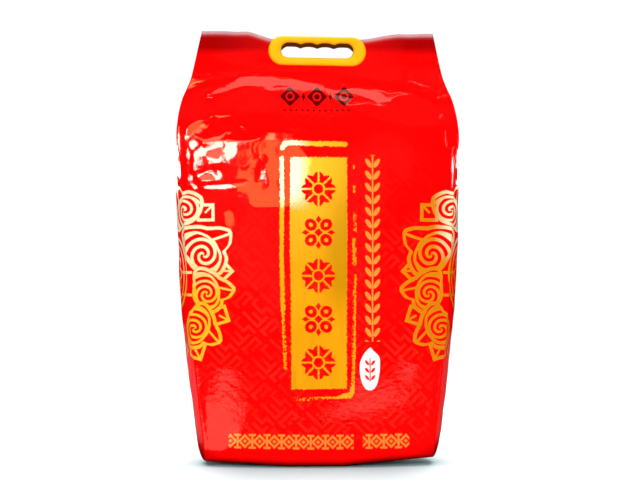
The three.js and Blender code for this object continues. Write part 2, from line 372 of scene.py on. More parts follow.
# Facets of the front: outlines in picture points, the lamp each one mirrors,
# how soft its outline is and how uneven its face is.
FACETS = [
    # the broken patch at the upper left
    ("window", [(188.6, 145), (189.2, 141.5), (192.6, 136.5), (196.3, 136.5), (200.3, 141), (199, 144), (193.3, 150.3), (189.7, 149)], 0.6, 0.0),
    ("window", [(193, 151.5), (201, 146.5), (204, 150), (204.5, 158.5), (219, 159.5), (219, 163), (206.5, 165.2), (203, 169.6), (197, 173.2), (193.3, 171.8), (192.6, 160)], 0.6, 0.12),
    ("window", [(225.8, 142.5), (229.3, 141.7), (233.7, 143), (237.4, 149), (237.4, 154.2), (232.2, 157.8), (226, 159.5), (219.5, 162), (219, 159), (224, 155)], 0.7, 0.15),
    ("window", [(200.7, 146), (216, 143), (223, 142.4), (222.4, 146), (204, 149.6)], 0.6, 0.3),
    ("glow", [(201.5, 150.4), (222, 146.2), (222.3, 154), (218.8, 159.2), (202.2, 160)], 0.8, 0.5),
    ("glow", [(206.5, 170.5), (214, 169.5), (214.2, 181), (206.5, 181.5), (201, 180.5), (203, 175)], 0.7, 1.2),
    ("window", [(215.8, 169.4), (220.6, 169.2), (220.8, 180.6), (215.6, 181)], 0.5, 1.2),
    ("glow", [(194.5, 177), (203, 172.5), (202, 181.5), (197, 181)], 0.9, 2.0),
    ("window", [(202, 187), (206, 184.6), (215, 184.2), (226, 183.8), (234, 183.4), (234, 187.5), (226, 189.6), (214, 190.6), (205, 190)], 0.6, 0.3),
    ("glow", [(234, 183.4), (247, 182.4), (247, 184.6), (234, 187.5)], 0.6, 0.3),
    ("window", [(190, 174), (193.2, 175.5), (194.6, 180.5), (198.3, 184.5), (198, 190), (195, 192.5), (190.8, 186)], 0.8, 0.9),
    ("window", [(186.2, 150), (190.4, 150), (190.8, 165), (189.6, 186), (187.0, 186)], 0.7, 0.3),
    ("door", [(204, 141.0), (219, 136.9), (225, 133.8), (225.4, 134.8), (219.2, 138.1), (204, 142.2)], 0.5, 1.6),
    ("door", [(225, 133.4), (237.4, 130.6), (237.6, 131.8), (225.4, 134.6)], 0.5, 1.6),
    ("window", [(261.4, 167.4), (266.4, 168), (268, 175.6), (271.2, 184), (268.6, 186.4), (262.4, 182.6), (258, 181.6), (259.8, 175)], 0.5, 0.0),
    ("window", [(260.6, 185.4), (264.4, 185), (271.6, 190), (270.6, 193.4), (264.6, 192.2), (261, 189)], 0.5, 0.0),
    ("window", [(240.4, 194.2), (245, 193.4), (249.8, 198), (251.4, 204.2), (247.6, 204.8), (243.6, 200.6), (240.6, 197.6)], 0.5, 0.0),
    # the warm haze left of the panel, paler along its top
    ("peach", [(268, 132.5), (284, 131.8), (296, 132.5), (297, 139.5), (286, 141.5), (275, 140), (267, 140)], 0.7, 0.35),
    ("door", [(267.5, 133), (266, 139.5), (253.5, 144.6), (252, 150.5), (254.2, 155.6), (266, 155), (269, 159.3), (264.5, 166), (262.5, 169.5), (270, 184), (258, 181.5), (245.4, 183.5), (237.4, 188), (241, 193), (250.4, 202), (252.8, 207.7), (290, 207.7), (302, 186), (313, 160), (295, 138), (284, 133)], 0.8, 0.8),
    ("door", [(225, 212), (229.5, 207.5), (234, 212), (235.2, 220), (233, 230), (229.6, 232), (226, 227), (224, 219)], 3.0, 1.0),
    ("door", [(242.4, 121.5), (244.8, 121.5), (245, 131), (243, 131.6)], 0.6, 2.0),
    ("gap", [(234.6, 141.4), (238.5, 147.5), (238.7, 154.8), (233.4, 159), (228.5, 161.4), (229, 165), (245, 167), (252.5, 157), (250.5, 151), (251, 143.4), (243, 141)], 0.6, 0.0),
    # the almond-shaped dent by the left crease
    ("door", [(185.6, 131), (189, 126), (195, 122), (200, 120), (204, 119.5), (203, 123), (199, 127.5), (195, 131), (190, 134.5), (187, 136)], 0.7, 0.4),
    ("window", [(184.9, 134), (186.8, 137.2), (194, 133.2), (199.6, 128.6), (204, 122.6), (204.9, 123.4), (200.4, 130), (194.4, 134.9), (187, 139), (184.6, 136)], 0.4, 0.6),
    ("door", [(203, 127.4), (206.4, 123.4), (212.4, 114), (213.6, 114.8), (207.8, 124.6), (204, 129)], 0.5, 0.8),
    ("shade", [(206, 128), (214, 117), (262, 118), (264, 131), (262, 137), (250, 141), (239, 141.5), (230, 139.5), (216, 141), (203, 144), (200, 139), (199, 134)], 0.9, 0.3),
    # the fold under the header
    ("ceiling", [(207, 94.5), (218.6, 88), (230.2, 83.4), (237.3, 76.6), (252.5, 75.2), (270.4, 75.6), (288.2, 76.4), (310.5, 82.6), (322, 87.2), (336.5, 90), (346, 89.4), (355, 87.2), (369.4, 89.4), (381.4, 92.7), (390.2, 99.3), (389, 103.7), (379.2, 102.6), (367, 98.2), (355, 95), (345, 93.4), (336, 93.2), (324, 90.5), (306, 87.8), (288, 85), (266, 86.4), (243.6, 86), (233, 89.2), (221, 93.4), (212.3, 95)], 0.9, 0.85),
    ("ceiling", [(320, 75.2), (334.3, 75.8), (343, 85), (341.8, 86.6), (333.6, 77.6), (320, 77)], 0.5, 0.8),
    ("ceiling_right", [(407.5, 77.6), (415.4, 79.2), (425.3, 82.2), (432, 84.8), (431, 90.6), (415, 86), (407.8, 83)], 0.5, 0.1),
    ("ceiling_right", [(432, 85), (440, 84), (448.5, 97.6), (440.7, 97)], 0.8, 0.3),
    ("dark", [(352, 105), (368, 102.5), (380, 106.2), (388.5, 105.8), (392.4, 102), (391.4, 97.6), (400, 94.6), (414, 96), (432, 101), (441, 112), (436, 123), (416, 124), (385, 122), (365, 115), (352, 109)], 1.0, 0.5),
    # the right crease
    ("pale", [(443.8, 131), (446.2, 130), (447.6, 138), (447.8, 149), (445, 147), (443.8, 139)], 1.2, 0.5),
    ("right", [(450.8, 148.5), (453.4, 147.5), (455.2, 168), (455.0, 189), (450.6, 190), (450.4, 168)], 0.7, 0.3),
]

# film that keeps its own slope, just above the fold
STILL = [(196, 93), (206.5, 92.6), (218, 86), (229.4, 81.6), (236.4, 74.8), (252.5, 73.4), (270.4, 73.8),
         (289, 74.6), (311, 80.6), (318, 83), (318, 64), (196, 64)]


def lay_facets(x, y, z, u, v):
    """The front sheet as a height field y(x, z), bent so that each facet
    mirrors its lamp; the rest keeps its slopes, and folds form between."""
    weight = np.full(u.shape, 1.0)
    sx, sz = np.zeros(u.shape), np.zeros(u.shape)
    cover = np.zeros(u.shape)
    loose = np.zeros(u.shape)
    p = np.stack([x, y, z], -1)
    view = CAM_POS - p
    view /= np.linalg.norm(view, axis=-1, keepdims=True)
    for k, (lamp, poly, soft, uneven) in enumerate(FACETS):
        f = polygon_field(u, v, poly)
        f = f + 1.3 * max(0.0, uneven - 0.3) * Noise(400 + k)(u / 4.2, v / 4.2)
        w = smooth(-soft, soft, f)
        to = np.array(LAMPS[lamp]) - p
        to /= np.linalg.norm(to, axis=-1, keepdims=True)
        n = to + view
        n /= np.linalg.norm(n, axis=-1, keepdims=True)
        wob, wob2 = Noise(200 + k), Noise(300 + k)
        t = math.tan(math.radians(1.0)) * uneven
        tx = -n[..., 0] / n[..., 1] + t * 2.0 * wob(u / 3.6, v / 11)
        tz = -n[..., 2] / n[..., 1] + t * 2.0 * wob2(u / 7, v / 5)
        take = w * (1 - cover)
        sx += take * tx
        sz += take * tz
        cover += take
        loose = np.maximum(loose, smooth(-4.5, -0.8, f))
    sharp = np.where(cover > 0.02, cover, 0.0)
    keep = (polygon_field(u, v, STILL) > 0) & (sharp <= 0.5)
    weight = np.where((sharp > 0.5) | keep, 6.0, 1.0 - 0.86 * loose)

    def edges(axis):
        a = [slice(None)] * 2
        b = [slice(None)] * 2
        a[axis], b[axis] = slice(None, -1), slice(1, None)
        a, b = tuple(a), tuple(b)
        dx, dy, dz = x[b] - x[a], y[b] - y[a], z[b] - z[a]
        c = (sharp[a] + sharp[b]) / 2
        den = np.maximum(sharp[a] + sharp[b], 1e-6)
        gx = (sx[a] + sx[b]) / den
        gz = (sz[a] + sz[b]) / den
        want = np.where(c > 0.5, gx * dx + gz * dz, dy)
        w = (weight[a] + weight[b]) / 2 / np.maximum(dx * dx + dz * dz, 0.2)
        return a, b, want - dy, w

    sets = [edges(0), edges(1)]
    # only the front's inside may move: its rim, the header and the foot stay
    free = smooth(1.0, 0.985, np.abs(ACROSS))[None, :] * np.ones_like(u)
    screen = 0.0025 + 0.6 * (1 - free) + 0.5 * smooth(60, 52, v) + 0.5 * smooth(448, 458, v)

    def apply(h):
        out = screen * h
        for a, b, t, w in sets:
            d = w * (h[b] - h[a])
            out[b] += d
            out[a] -= d
        return out

    rhs = np.zeros_like(u)
    for a, b, t, w in sets:
        rhs[b] += w * t
        rhs[a] -= w * t
    diag = screen.copy()
    for a, b, t, w in sets:
        diag[a] += w
        diag[b] += w
    h = np.zeros_like(u)
    res = rhs - apply(h)
    zed = res / diag
    step = zed.copy()
    rz = (res * zed).sum()
    for _ in range(500):
        q = apply(step)
        alpha = rz / (step * q).sum()
        h += alpha * step
        res -= alpha * q
        zed = res / diag
        new = (res * zed).sum()
        if new < 1e-9:
            break
        step = zed + (new / rz) * step
        rz = new
    return h


BEND = lay_facets(GX[:, FRONT], GY[:, FRONT], GZ[:, FRONT], uf, vf)
GY[:, FRONT] = GY[:, FRONT] + BEND

# the header is one sheet: front and back move together
wave = Noise(71)
hx = X - SHIFT_X
header = (
    0.55 * wave(hx / 34, Z / 30)
    + 1.0 * wave(hx / 60 + 5, Z / 60 + 2)
    + 0.35 * wave(hx / 13 + 2, Z / 26)
) * smooth(372, 384, ROWS)[:, None] * smooth(49, 60, np.abs(hx))
GY = GY + header
# its cut edge is not quite straight
GZ = GZ + (0.35 * wave(hx / 16, 3.3) * smooth(402, 412, ROWS)[:, None])

# keep the base on the floor
GZ = np.maximum(GZ, 0.0)

# ---------------------------------------------------------------- print motifs
def curve(points, n=8):
    """Catmull-Rom curve through points."""
    p = np.asarray(points, float)
    p = np.vstack([2 * p[0] - p[1], p, 2 * p[-1] - p[-2]])
    out = []
    for i in range(1, len(p) - 2):
        for t in np.linspace(0, 1, n, endpoint=False):
            a, b, c, d = p[i - 1], p[i], p[i + 1], p[i + 2]
            out.append(
                0.5
                * (
                    2 * b
                    + (c - a) * t
                    + (2 * a - 5 * b + 4 * c - d) * t * t
                    + (3 * b - a - 3 * c + d) * t**3
                )
            )
    out.append(p[-2])
    return [tuple(q) for q in out]


PANEL = [(290.5, 157), (347, 157.5), (347.2, 240), (346.6, 388.5), (291.5, 389.5), (291, 300), (289.8, 230)]
STROKES = [  # the broken brushed frame: points and half widths
    ([(282.5, 148), (284, 143.6), (292, 142.6), (315, 143.6), (345, 144.3)], 2.3),
    ([(281.5, 158), (282, 200), (281.5, 255), (283, 310)], 2.1),
    ([(283, 312), (284.5, 345), (285.5, 369)], 1.4),
    ([(353.5, 166), (354, 168)], 0.8),
    ([(354, 186), (355.3, 195)], 1.1),
    ([(354.5, 213), (355.2, 231)], 1.2),
    ([(354, 239), (354.5, 264)], 1.6),
    ([(355, 275), (354.5, 308), (354, 345)], 1.3),
    ([(354, 345), (353, 378), (352.6, 394)], 1.5),
    ([(352.5, 392), (350, 397), (338, 397.5), (318, 398.5), (300, 399.5), (296, 398.5)], 1.2),
    ([(352.5, 388), (351.5, 394), (343, 395.5)], 2.0),
]


def rough_gold_field(u, v):
    out = np.full(u.shape, -9.0)
    near = (u > 270) & (u < 366) & (v > 130) & (v < 412)
    a, b = u[near], v[near]
    f = polygon_field(a, b, PANEL)
    for path, half in STROKES:
        f = np.maximum(f, half - distance(a, b, lines([path])))
    out[near] = f
    return out


GRAIN = curve(
    [(370.2, 346.8), (373.5, 351), (377.5, 354.5), (379.6, 358.5), (379.8, 366), (378.8, 376),
     (376, 386), (371.5, 390), (366, 389), (361.8, 382), (359.8, 372), (360.3, 362),
     (364, 354), (370.2, 346.8)], 4,
)


def grain_field(u, v):
    out = np.full(u.shape, -9.0)
    near = (u > 352) & (u < 388) & (v > 340) & (v < 397)
    out[near] = polygon_field(u[near], v[near], GRAIN[:-1])
    return out


# both faces carry the same middle panel; the side rosettes meet on the gussets
U_PRINT = U
gold_rough = rough_gold_field(U_PRINT, V)
white = grain_field(U_PRINT, V)

# ------------------------------------------------------------------- the mesh
# the handle sits a little high and turned, its opening nearer its top
RING_UP, RING_TURN, GRIP_UP = 1.0, math.radians(1.0), 0.8
BASE_RINGS = (0.93, 0.78, 0.55, 0.28)


def film_mesh():
    co = np.stack([GX, GY, GZ], -1).reshape(-1, 3)
    idx = np.arange(N_ROW * N_COL).reshape(N_ROW, N_COL)
    nxt = np.roll(idx, -1, 1)
    quads = np.stack([idx[:-1], nxt[:-1], nxt[1:], idx[1:]], -1)

    # the slot for the handle's sleeve: cells inside its outline go, on both
    # sheets, and the vertices round it move onto the outline
    half, radius = 28.3, 8.6
    lx = (X - SHIFT_X)
    lz = (Z - HANDLE_Z) / math.cos(LEAN) - RING_UP - GRIP_UP

    def gap(x, z):
        cx = np.clip(x, -half, half)
        return np.hypot(x - cx, z) - radius

    centre_x = (lx[:-1] + np.roll(lx, -1, 1)[:-1] + lx[1:] + np.roll(lx, -1, 1)[1:]) / 4
    centre_z = (lz[:-1] + np.roll(lz, -1, 1)[:-1] + lz[1:] + np.roll(lz, -1, 1)[1:]) / 4
    panel = np.zeros(N_COL, bool)
    panel[FRONT[:-1]] = panel[BACK[:-1]] = True
    gone = (gap(centre_x, centre_z) < 0) & panel[None, :] & (ROWS[:-1, None] > 378)
    rim = np.zeros(idx.shape, bool)
    touch_gone = np.zeros(idx.shape, int)
    touch_kept = np.zeros(idx.shape, int)
    for dr in (0, 1):
        for dc in (0, 1):
            g = np.zeros(idx.shape, bool)
            k = np.zeros(idx.shape, bool)
            cols = (np.arange(N_COL) + dc) % N_COL
            g[dr : dr + N_ROW - 1, cols] = gone
            k[dr : dr + N_ROW - 1, cols] = ~gone
            touch_gone += g
            touch_kept += k
    rim = (touch_gone > 0) & (touch_kept > 0)
    pos = co.reshape(N_ROW, N_COL, 3)
    cx = np.clip(lx[rim], -half, half)
    dx, dz = lx[rim] - cx, lz[rim]
    r = np.maximum(np.hypot(dx, dz), 1e-6)
    nx, nz = cx + dx / r * radius, dz / r * radius
    sheet = np.where(np.broadcast_to(Q[None, :], idx.shape)[rim] < 0, -0.5, 0.5)
    mid_y = header_y(0.0, HANDLE_Z)
    pos[rim, 0] = nx + SHIFT_X
    nz = nz + RING_UP + GRIP_UP
    pos[rim, 1] = mid_y - nz * math.sin(LEAN) + sheet
    pos[rim, 2] = HANDLE_Z + nz * math.cos(LEAN)

    # bridge the two sheets round the slot
    mirror = {}
    for f, b in zip(FRONT, BACK[::-1]):
        mirror[int(f)] = int(b)
    faces = [tuple(int(i) for i in q) for q in quads[~gone].reshape(-1, 4)]
    walls = []
    rows, cols = np.nonzero(gone)
    goneset = set(zip(rows.tolist(), cols.tolist()))
    for r0, c0 in goneset:
        if c0 >= n_panel:
            continue
        for (dr, dc), (a, b) in (
            ((-1, 0), ((r0, c0), (r0, c0 + 1))),
            ((1, 0), ((r0 + 1, c0 + 1), (r0 + 1, c0))),
            ((0, -1), ((r0 + 1, c0), (r0, c0))),
            ((0, 1), ((r0, c0 + 1), (r0 + 1, c0 + 1))),
        ):
            if (r0 + dr, c0 + dc) not in goneset:
                fa, fb = int(idx[a]), int(idx[b])
                ba, bb = int(idx[a[0], mirror[a[1]]]), int(idx[b[0], mirror[b[1]]])
                walls.append((fa, ba, bb, fb))
    faces += walls

    # the top edge: front and back sheets meet, and the folded gussets close
    top = idx[-1]
    for j in range(n_panel - 1):
        f0, f1 = int(top[FRONT[j]]), int(top[FRONT[j + 1]])
        b0, b1 = int(top[BACK[::-1][j]]), int(top[BACK[::-1][j + 1]])
        faces.append((f0, f1, b1, b0))
    for corner, cols, end in ((FRONT[-1], RIGHT, BACK[0]), (FRONT[0], LEFT[::-1], BACK[-1])):
        ring = [int(top[corner])] + [int(top[c]) for c in cols] + [int(top[end])]
        if corner == FRONT[0]:
            ring = ring[::-1]
        n = len(ring)
        for a in range(n // 2 - 1 + n % 2):
            b = n - 1 - a
            if b - a < 2:
                continue
            if b - a == 2:
                faces.append((ring[a], ring[a + 1], ring[b]))
            else:
                faces.append((ring[a], ring[a + 1], ring[b - 1], ring[b]))

    # the base: rings that close in, each a little above the floor in its folds
    base = pos[0].copy()
    mid = np.array([base[:, 0].mean(), base[:, 1].mean(), 0.0])
    prev = idx[0]
    extra = []
    n0 = N_ROW * N_COL
    fold = Noise(91)
    for i, s in enumerate(BASE_RINGS):
        ring = mid + (base - mid) * s
        under = 0.25 + 0.35 * fold(ring[:, 0] / 30, ring[:, 1] / 9 + i)
        ring[:, 2] = base[:, 2] * s * s + np.maximum(under, 0.0)
        extra.append(ring)
        new = n0 + i * N_COL + np.arange(N_COL)
        for j in range(N_COL):
            k = (j + 1) % N_COL
            faces.append((int(prev[k]), int(prev[j]), int(new[j]), int(new[k])))
        prev = new
    faces.append(tuple(int(i) for i in prev[::-1]))
    co = np.vstack([pos.reshape(-1, 3)] + extra)
    return co * MM, faces


def fill(values, pad):
    """A vertex field for the grid and the base's rings."""
    flat = values.reshape(-1)
    return np.concatenate([flat, np.tile(values[0], len(BASE_RINGS)) if pad is None else np.full(len(BASE_RINGS) * N_COL, pad)])


verts, faces = film_mesh()
me = bpy.data.meshes.new("film_bag")
me.from_pydata(verts.tolist(), [], faces)
for name, values, pad in (
    ("print_rough", gold_rough, -9.0),
    ("print_white", white, -9.0),
    ("weld", smooth(407.8, 408.8, ROWS)[:, None] * np.ones((1, N_COL)), 0.0),
    # foot: mask of the painted shade along the bottom edge, full over the base
    ("foot", smooth(8.5, -1.5, ROWS)[:, None] * np.ones((1, N_COL)), 1.0),
    ("film_u", U_PRINT, None),
    ("film_v", V, None),
):
    att = me.attributes.new(name, "FLOAT", "POINT")
    att.data.foreach_set("value", fill(values, pad).astype(np.float32))
me.validate()
bm = bmesh.new()
bm.from_mesh(me)
bmesh.ops.triangulate(bm, faces=[f for f in bm.faces if len(f.verts) > 4])
bmesh.ops.recalc_face_normals(bm, faces=bm.faces)
used = [v for v in bm.verts if not v.link_faces]
bmesh.ops.delete(bm, geom=used, context="VERTS")
bm.to_mesh(me)
bm.free()
me.polygons.foreach_set("use_smooth", [True] * len(me.polygons))
film = bpy.data.objects.new("film_bag", me)
bpy.context.collection.objects.link(film)


# ----------------------------------------------------------------- the handle
HANDLE_W, HANDLE_H, HANDLE_R = 93.0, 27.4, 13.4
GRIP_W, GRIP_R = 69.0, 7.1
SCALLOP, SCALLOP_DEEP = 15.84, 1.7
FACE_Y = 0.9


def handle_loops(per=8, arc_n=20, bottom_n=34):
    xi, xo, zo = GRIP_W / 2 - GRIP_R, HANDLE_W / 2 - HANDLE_R, HANDLE_H / 2
    inner, outer = [], []

    def push(ix, iy, ox, oy):
        inner.append((ix, iy))
        outer.append((ox, oy))

    stops = list(np.linspace(-xi, -1.5 * SCALLOP, 5)[:-1])
    stops += list(np.linspace(-1.5 * SCALLOP, 1.5 * SCALLOP, 3 * 2 * per + 1))
    stops += list(np.linspace(1.5 * SCALLOP, xi, 5)[1:])
    for x in stops:
        s = abs(math.sin(math.pi * x / SCALLOP))
        cusp = 0 if abs(x) >= 1.5 * SCALLOP else (1 - math.sqrt(s * s + 0.004)) ** 1.3 if s < 0.998 else 0
        push(x, GRIP_R - SCALLOP_DEEP * max(cusp, 0), x * xo / xi, zo)
    for k in range(1, arc_n + 1):
        a = math.pi / 2 - math.pi * k / arc_n
        push(xi + GRIP_R * math.cos(a), GRIP_R * math.sin(a), xo + HANDLE_R * math.cos(a), zo * math.sin(a))
    for k in range(1, bottom_n):
        push(xi - 2 * xi * k / bottom_n, -GRIP_R, xo - 2 * xo * k / bottom_n, -zo)
    for k in range(arc_n):
        a = -math.pi / 2 - math.pi * k / arc_n
        push(-xi + GRIP_R * math.cos(a), GRIP_R * math.sin(a), -xo + HANDLE_R * math.cos(a), zo * math.sin(a))
    return np.array(inner) + [0, GRIP_UP], np.array(outer)


def handle_half(name, side):
    inner, outer = handle_loops()
    n = len(inner)
    across = outer - inner
    width = np.linalg.norm(across, axis=1)
    # section: distance outward from the opening as a share of the bar's width,
    # and height off the film: rolled edges and a crowned face
    sec = []
    for k in range(5):
        a = math.pi / 2 * k / 4
        sec.append((0.075 * (1 - math.sin(a)), 2.4 + 1.5 * math.sin(a) * 0 + 1.3 * k / 4, "in"))
    sec = [(0.0, 2.3, "s"), (0.012, 3.1, "s"), (0.05, 3.8, "s")]
    for k in range(1, 12):
        s = 0.05 + 0.9 * k / 12
        sec.append((s, 3.8 + 1.75 * math.sqrt(max(0.0, 1 - abs(2 * k / 12 - 1) ** 2.6)), "s"))
    sec += [(0.95, 3.8, "s"), (0.988, 3.1, "s"), (1.0, 2.3, "s"), (1.0, 0.35, "s"), (0.985, 0.0, "s")]
    if side < 0:
        sec += [(1.2, 0.0, "mm"), (1.2, -1.5, "mm"), (0.0, -1.5, "mm")]
    else:
        sec += [(0.0, 0.0, "mm")]
    pts, ins = [], []
    top_edge = smooth(1.5, 4.5, inner[:, 1])
    for k, (s, h, kind) in enumerate(sec):
        d = np.full(n, s) if kind == "s" else s / width
        xy = inner + across * d[:, None]
        # the wall at the top of the opening slopes down towards the back
        drop = 0.0
        if side > 0 and (kind == "mm" or s < 0.5):
            drop = 4.0 * (1 - (0 if kind == "mm" else s) * 2)
        elif side < 0 and kind == "mm":
            drop = 4.0 if h < 0 else 2.2
        elif side < 0 and s == 0.0:
            drop = 0.4
        xy = xy - np.stack([np.zeros(n), drop * top_edge], -1)
        pts.append(np.stack([xy[:, 0], np.full(n, side * (FACE_Y + h)), xy[:, 1]], -1))
    m = len(pts)
    co = np.concatenate(pts)
    faces = []
    for a in range(m):
        b = (a + 1) % m
        for i in range(n):
            j = (i + 1) % n
            faces.append((a * n + i, a * n + j, b * n + j, b * n + i))
    c, s = math.cos(RING_TURN), math.sin(RING_TURN)
    co = np.stack([co[:, 0] * c + co[:, 2] * s, co[:, 1], co[:, 2] * c - co[:, 0] * s + RING_UP], -1)
    c, s = math.cos(LEAN), math.sin(LEAN)
    y = co[:, 1] * c - co[:, 2] * s + header_y(0.0, HANDLE_Z)
    z = co[:, 1] * s + co[:, 2] * c + HANDLE_Z
    world = np.stack([co[:, 0] + SHIFT_X, y, z], -1) * MM
    mesh = bpy.data.meshes.new(name)
    mesh.from_pydata(world.tolist(), [], faces)
    # painted shade: how deep a point lies in the upper wall of the opening, which is coloured near black as if in
    # shadow
    wall_shade = np.zeros(len(co))
    up = smooth(1.0, 3.0, inner[:, 1])
    for k, (sh, h, kind) in enumerate(sec):
        if side > 0:
            deep = 1.0 if kind == "mm" or sh <= 0.05 else 0.0
        elif kind == "mm":
            deep = 1.0
        else:
            deep = 1.0 if sh < 0.005 else 0.0
        wall_shade[k * n : (k + 1) * n] = deep * up
    att = mesh.attributes.new("wall_shade", "FLOAT", "POINT")
    att.data.foreach_set("value", wall_shade.astype(np.float32))
    b2 = bmesh.new()
    b2.from_mesh(mesh)
    bmesh.ops.recalc_face_normals(b2, faces=b2.faces)
    b2.to_mesh(mesh)
    b2.free()
    mesh.polygons.foreach_set("use_smooth", [True] * len(mesh.polygons))
    ob = bpy.data.objects.new(name, mesh)
    bpy.context.collection.objects.link(ob)
    # smooth faces with crisp turns at the parting face and the sleeve
    mesh.set_sharp_from_angle(angle=math.radians(38))
    return ob


grip_front = handle_half("grip_front", -1)
grip_back = handle_half("grip_back", 1)


# ------------------------------------------------------------------ materials
class Tree:
    """Short names for building a node tree."""

    def __init__(self, name):
        self.mat = bpy.data.materials.new(name)
        self.mat.use_nodes = True
        self.nt = self.mat.node_tree
        self.nt.nodes.clear()
        self.out = self.nt.nodes.new("ShaderNodeOutputMaterial")
        self.bsdf = self.nt.nodes.new("ShaderNodeBsdfPrincipled")
        self.nt.links.new(self.bsdf.outputs[0], self.out.inputs[0])

    def node(self, kind, **props):
        n = self.nt.nodes.new(kind)
        for k, v in props.items():
            setattr(n, k, v)
        return n

    def link(self, a, b):
        self.nt.links.new(a, b)

    def math(self, op, a, b=None, c=None, clamp=False):
        n = self.node("ShaderNodeMath", operation=op, use_clamp=clamp)
        for i, v in enumerate((a, b, c)):
            if v is None:
                continue
            if isinstance(v, (int, float)):
                n.inputs[i].default_value = v
            else:
                self.link(v, n.inputs[i])
        return n.outputs[0]

    def attr(self, name):
        return self.node("ShaderNodeAttribute", attribute_name=name).outputs["Fac"]

    def vec(self, x, y, z=0.0):
        n = self.node("ShaderNodeCombineXYZ")
        for i, v in enumerate((x, y, z)):
            if isinstance(v, (int, float)):
                n.inputs[i].default_value = v
            else:
                self.link(v, n.inputs[i])
        return n.outputs[0]

    def noise(self, vector, scale, detail=2.0, rough=0.5):
        n = self.node("ShaderNodeTexNoise")
        n.inputs["Scale"].default_value = scale
        n.inputs["Detail"].default_value = detail
        n.inputs["Roughness"].default_value = rough
        if vector is not None:
            self.link(vector, n.inputs["Vector"])
        return n.outputs["Fac"]

    def remap(self, v, a, b, lo=0.0, hi=1.0, smooth_step=False):
        n = self.node("ShaderNodeMapRange", clamp=True)
        if smooth_step:
            n.interpolation_type = "SMOOTHSTEP"
        self.link(v, n.inputs["Value"])
        n.inputs["From Min"].default_value = a
        n.inputs["From Max"].default_value = b
        n.inputs["To Min"].default_value = lo
        n.inputs["To Max"].default_value = hi
        return n.outputs["Result"]

    def mix(self, fac, a, b):
        n = self.node("ShaderNodeMix", data_type="RGBA")
        for v, s in ((fac, n.inputs[0]), (a, n.inputs[6]), (b, n.inputs[7])):
            if isinstance(v, (int, float)):
                s.default_value = v
            elif isinstance(v, tuple):
                s.default_value = (*v, 1.0)
            else:
                self.link(v, s)
        return n.outputs[2]

    def mixf(self, fac, a, b):
        n = self.node("ShaderNodeMix", data_type="FLOAT")
        for v, s in ((fac, n.inputs[0]), (a, n.inputs[2]), (b, n.inputs[3])):
            if isinstance(v, (int, float)):
                s.default_value = v
            else:
                self.link(v, s)
        return n.outputs[0]

    # short forms for drawing with fields
    def add(self, a, b):
        return self.math("ADD", a, b)

    def sub(self, a, b):
        return self.math("SUBTRACT", a, b)

    def mul(self, a, b):
        return self.math("MULTIPLY", a, b)

    def abs(self, a):
        return self.math("ABSOLUTE", a)

    def top(self, *fields):
        out = fields[0]
        for f in fields[1:]:
            out = self.math("MAXIMUM", out, f)
        return out

    def low(self, *fields):
        out = fields[0]
        for f in fields[1:]:
            out = self.math("MINIMUM", out, f)
        return out

    def hypot(self, a, b):
        return self.math("SQRT", self.add(self.mul(a, a), self.mul(b, b)))

    def frac(self, a, period):
        """Distance of a from the middle of its period, 0 to period / 2."""
        return self.abs(self.sub(self.math("WRAP", a, period, 0.0), period / 2))

    def band(self, f, half):
        """A stroke of that half width along the zero line of a field."""
        return self.sub(half, self.abs(f))

    def within(self, v, a, b):
        """Positive between a and b."""
        return self.low(self.sub(v, a), self.sub(b, v))

    def curve(self, a, points, scale):
        """A table of values over an angle in degrees, from -180 to 180."""
        n = self.node("ShaderNodeFloatCurve")
        self.link(a, n.inputs["Value"])
        c = n.mapping.curves[0]
        c.points[0].location = ((points[0][0] + 180) / 360, points[0][1] / scale)
        c.points[1].location = ((points[-1][0] + 180) / 360, points[-1][1] / scale)
        for x, y in points[1:-1]:
            c.points.new((x + 180) / 360, y / scale)
        for p in c.points:
            p.handle_type = "VECTOR"
        n.mapping.update()
        return self.mul(n.outputs[0], scale)


RED = (0.88, 0.0008, 0.0010)
RED_DEEP = (0.74, 0.0006, 0.0012)
FRET = (0.89, 0.010, 0.0045)
GOLD = (1.0, 0.385, 0.006)
# the next colour is a painted highlight on the gold
GOLD_HIGHLIGHT = (1.0, 0.54, 0.03)
GOLD_DEEP = (0.60, 0.27, 0.002)
AMBER = (0.92, 0.30, 0.045)
# the next colour is a painted highlight on the side rosettes
ROSE_HIGHLIGHT = (0.95, 0.86, 0.50)
ROSE_LOW = (1.0, 0.52, 0.024)
ROSE_MID = (1.0, 0.49, 0.022)
ROSE_RIGHT = (0.74, 0.27, 0.006)
INK = (0.035, 0.0006, 0.0006)
CREAM = (0.80, 0.70, 0.66)

# A scrolled petal in its own frame, x towards the tip: the radius of its
# outline and of the line inside it, over the angle. Below: where each petal
# and each bud of a side rosette sits, in film coordinates.
PETAL_OUT = [
    (-180, 12.3), (-160, 12.9), (-137, 16.5), (-122, 23.5), (-113, 26.4), (-105, 26.7), (-92, 24.8),
    (-81, 23), (-63, 21.4), (-52, 20.6), (-40, 21.8), (-30, 24), (-20, 26.2), (-12.5, 27.9), (-6, 27.3),
    (-2, 25.8), (9, 22.3), (15, 19), (20, 16.6), (28, 17.2), (37, 18.6), (58, 19), (76, 19.4),
    (95, 17), (110, 14.8), (140, 12.6), (180, 12.3),
]
PETAL_IN = [
    (-180, 12.3), (-160, 12.9), (-137, 16.4), (-124, 21.4), (-114, 22.2), (-101, 20.9), (-81, 18.6),
    (-58, 15.4), (-34, 13.3), (5, 12.2), (35, 13.6), (62, 14.4), (80, 15.2), (95, 16.4), (110, 14.7),
    (140, 12.6), (180, 12.3),
]
PETALS = [  # centre, turn of the tip, stretch across and down
    (184.0, 210.5, -116, 1.15, 1.02),
    (203.6, 255.0, -30, 1.24, 1.30),
    (206.5, 294.0, 0, 1.0, 1.0),
    (194.4, 328.7, 37, 1.03, 1.0),
]
BUDS = [  # centre and direction of the corner that shows
    (205.6, 212.5, -46), (222.0, 270.8, 2), (219.4, 315.6, 28), (195.6, 350.0, 62),
    (168.0, 352.0, 85),
]
GUSSET_MID = (157.5, 274.0)


